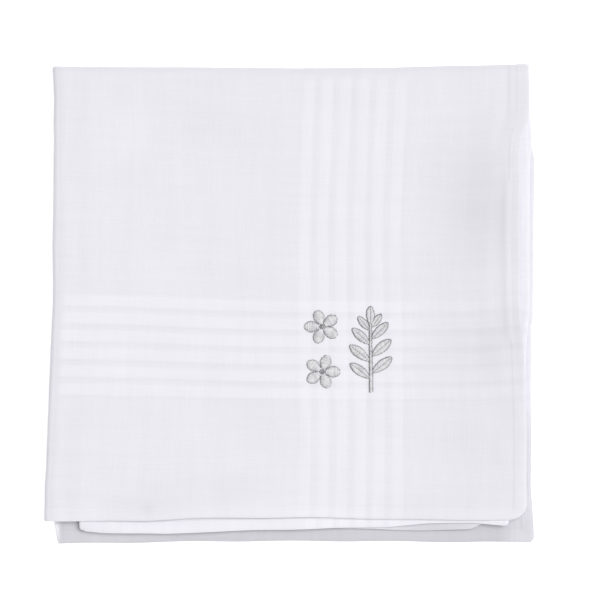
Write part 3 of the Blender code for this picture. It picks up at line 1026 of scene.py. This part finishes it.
class Embroiderer:
    """Lays satin stitches on the top layer, from places in millimetres round the motif's centre."""

    def __init__(self, cloth, thread):
        self.sewing = Sewing()
        self.cloth = cloth
        self.thread = thread
        self.pitch = thread.satin_pitch / MM
        self.random = random.Random(11)

    def loose(self, most):
        """The next random offset, up to the most either way."""
        return self.random.uniform(-most, most)

    def stitch(self, start, end, lift=0.12, width=1.0):
        """One thread from start to end, a little uneven."""
        start = Vector(start) + Vector((self.loose(START_LOOSE), self.loose(START_LOOSE)))
        end = Vector(end) + Vector((self.loose(END_LOOSE), self.loose(END_LOOSE)))
        middle = (start + end) / 2
        run = end - start
        across = self.thread.motif_across + middle.x * MM
        along = self.thread.motif_along - middle.y * MM
        surface = surface_frame(across, along, self.cloth.hem_corner)
        top = cloth_thickness(across, along, self.cloth) / 2
        placing = (
            surface
            @ Matrix.Translation((0, 0, top + (lift + self.loose(LIFT_LOOSE)) * MM))
            @ Matrix.Rotation(math.atan2(run.y, run.x), 4, "Z"))
        thick = self.thread.satin_thread * width
        arch = min(ARCH_MOST, ARCH_LEAST + ARCH_GROWTH * run.length) * MM
        self.sewing.add(placing, run.length * MM + thick, thick, thick * THREAD_FLATNESS, arch)

    def half_leaf(self, base, direction, length, width, side):
        """Satin stitches from a leaf's middle vein out to one edge."""
        outward = Vector((-direction.y, direction.x)) * side
        for share in middles(max(3, round(length / self.pitch))):
            half = width / 2 * math.sin(math.pi * share ** 0.85) ** 0.75
            vein = base + direction * length * share
            edge = vein + outward * half + direction * half * LEAF_SLANT
            self.stitch(vein - outward * VEIN_OVERLAP, edge)

    def leaf(self, base, direction, length, width):
        for side in (-1, 1):
            self.half_leaf(base, direction, length, width, side)

    def petal(self, centre, direction):
        """A petal of stitches straight across, widest towards its tip."""
        outward = Vector((-direction.y, direction.x))
        for share in middles(round(PETAL_LENGTH / self.pitch)):
            half = PETAL_WIDTH / 2 * math.sin(math.pi * (0.10 + 0.87 * share ** 1.25)) ** 0.7
            middle = centre + direction * (PETAL_START + PETAL_LENGTH * share)
            middle -= direction * PETAL_BOW * share
            self.stitch(middle - outward * half, middle + outward * half)

    def knot(self, place):
        """A small round knot."""
        self.stitch(place, place + Vector((0.12, 0.05)), lift=KNOT_LIFT, width=KNOT_SIZE)

    def blossom(self, blossom):
        centre = Vector((blossom.right, blossom.up))
        for number in range(PETALS):
            self.petal(centre, heading(90 + blossom.turn + number * 360 / PETALS))
        for number in range(KNOTS):
            self.knot(centre + KNOT_RING * heading(360 * number / KNOTS))
        self.knot(centre)

    def sprig(self):
        for leaf in LEAVES:
            base = Vector((STEM_RIGHT + leaf.side * 0.5, leaf.up))
            self.leaf(base, heading(90 - leaf.side * leaf.lean), leaf.length, leaf.width)
        for up in spaced(STEM_FROM, STEM_TO, self.pitch):
            share = (up - STEM_FROM) / (STEM_TO - STEM_FROM)
            half = STEM_WIDTH / 2 * (1 - STEM_TAPER * share)
            self.stitch((STEM_RIGHT - half, up - 0.15), (STEM_RIGHT + half, up + 0.15), lift=STEM_LIFT)

    def finish(self):
        material = thread_material("silver embroidery thread", self.thread.silver_colour, SILVER_LOOK)
        return self.sewing.finish("embroidery", material)


def make_embroidery(cloth, thread):
    embroiderer = Embroiderer(cloth, thread)
    for blossom in BLOSSOMS:
        embroiderer.blossom(blossom)
    embroiderer.sprig()
    return embroiderer.finish()


# ---- Stage ----
FLOOR_GAP = 0.05 * MM
SENSOR_WIDTH = 36  # millimetres, which also give the lens
CLIP_END = 20
VIEW_CENTRE = (4.62 * MM, 1.65 * MM)


def make_floor(settings):
    builder = bmesh.new()
    bmesh.ops.create_grid(builder, x_segments=1, y_segments=1, size=settings.floor_side / 2)
    bmesh.ops.translate(builder, verts=builder.verts, vec=(0, 0, CAD_BOX[0].z - FLOOR_GAP))
    return place_mesh("table_top", builder, floor_material(settings))


def make_lights(settings):
    world = bpy.data.worlds.new("studio dome")
    bpy.context.scene.world = world
    world.use_nodes = True
    dome = world.node_tree.nodes["Background"]
    dome.inputs["Color"].default_value = (1.0, 1.0, 1.0, 1.0)
    dome.inputs["Strength"].default_value = settings.dome_strength

    key = bpy.data.lights.new("key light", "SUN")
    key.energy = settings.key_strength
    key.angle = settings.key_softness
    holder = place_object("key light", key)
    holder.rotation_euler = (-Vector(settings.key_direction)).to_track_quat("-Z", "Y").to_euler()


def make_camera(settings):
    camera = bpy.data.cameras.new("camera")
    camera.sensor_width = SENSOR_WIDTH
    camera.lens = SENSOR_WIDTH * settings.camera_height / settings.camera_frame
    camera.clip_end = CLIP_END
    holder = place_object("camera", camera)
    top = LAYER_4_HEIGHT + STACK_HEIGHT
    holder.location = (*VIEW_CENTRE, top + settings.camera_height)
    bpy.context.scene.camera = holder


# ---- Operators ----
class HANDKERCHIEF_OT_cloth(bpy.types.Operator):
    """Folds the linen cloth and puts it in the solid's place"""

    bl_idname = "handkerchief.cloth"
    bl_label = "Linen Cloth"

    def execute(self, context):
        cloth = make_cloth(context.scene.handkerchief_cloth)
        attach(cloth, BODY)
        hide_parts(CLOTH_NODE)
        return {"FINISHED"}


class HANDKERCHIEF_OT_hem_stitching(bpy.types.Operator):
    """Sews the hems with a running stitch"""

    bl_idname = "handkerchief.hem_stitching"
    bl_label = "Hem Stitching"

    def execute(self, context):
        scene = context.scene
        stitching = make_hem_stitching(scene.handkerchief_cloth, scene.handkerchief_thread)
        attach(stitching, BODY)
        return {"FINISHED"}


class HANDKERCHIEF_OT_embroidery(bpy.types.Operator):
    bl_idname = "handkerchief.embroidery"
    bl_label = "Embroidery"

    def execute(self, context):
        scene = context.scene
        embroidery = make_embroidery(scene.handkerchief_cloth, scene.handkerchief_thread)
        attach(embroidery, BODY)
        return {"FINISHED"}


class HANDKERCHIEF_OT_stage(bpy.types.Operator):
    """Sets out the table top, the lights and the camera"""

    bl_idname = "handkerchief.stage"
    bl_label = "Table, Lights and Camera"

    def execute(self, context):
        settings = context.scene.handkerchief_stage
        make_floor(settings)
        make_lights(settings)
        make_camera(settings)
        context.scene.view_settings.view_transform = "Standard"
        return {"FINISHED"}


class HANDKERCHIEF_PT_panel(bpy.types.Panel):
    """Lists the handkerchief's pieces and their settings"""

    bl_label = "Handkerchief"
    bl_idname = "HANDKERCHIEF_PT_panel"
    bl_space_type = "VIEW_3D"
    bl_region_type = "UI"
    bl_category = "Handkerchief"

    def draw(self, context):
        for operator in OPERATORS:
            self.layout.operator(operator.bl_idname)
        for name in SETTINGS:
            settings = getattr(context.scene, name)
            box = self.layout.box()
            for setting in settings.__annotations__:
                box.prop(settings, setting)


OPERATORS = (
    HANDKERCHIEF_OT_cloth,
    HANDKERCHIEF_OT_hem_stitching,
    HANDKERCHIEF_OT_embroidery,
    HANDKERCHIEF_OT_stage,
)
SETTINGS = {
    "handkerchief_cloth": HandkerchiefCloth,
    "handkerchief_thread": HandkerchiefThread,
    "handkerchief_stage": HandkerchiefStage,
}
CLASSES = (*SETTINGS.values(), *OPERATORS, HANDKERCHIEF_PT_panel)


def register():
    for cls in CLASSES:
        bpy.utils.register_class(cls)
    for name, group in SETTINGS.items():
        setattr(bpy.types.Scene, name, bpy.props.PointerProperty(type=group))


def unregister():
    for name in SETTINGS:
        delattr(bpy.types.Scene, name)
    for cls in reversed(CLASSES):
        bpy.utils.unregister_class(cls)


def main():
    register()
    bpy.ops.handkerchief.cloth()
    bpy.ops.handkerchief.hem_stitching()
    bpy.ops.handkerchief.embroidery()
    bpy.ops.handkerchief.stage()


if __name__ == "__main__":
    main()
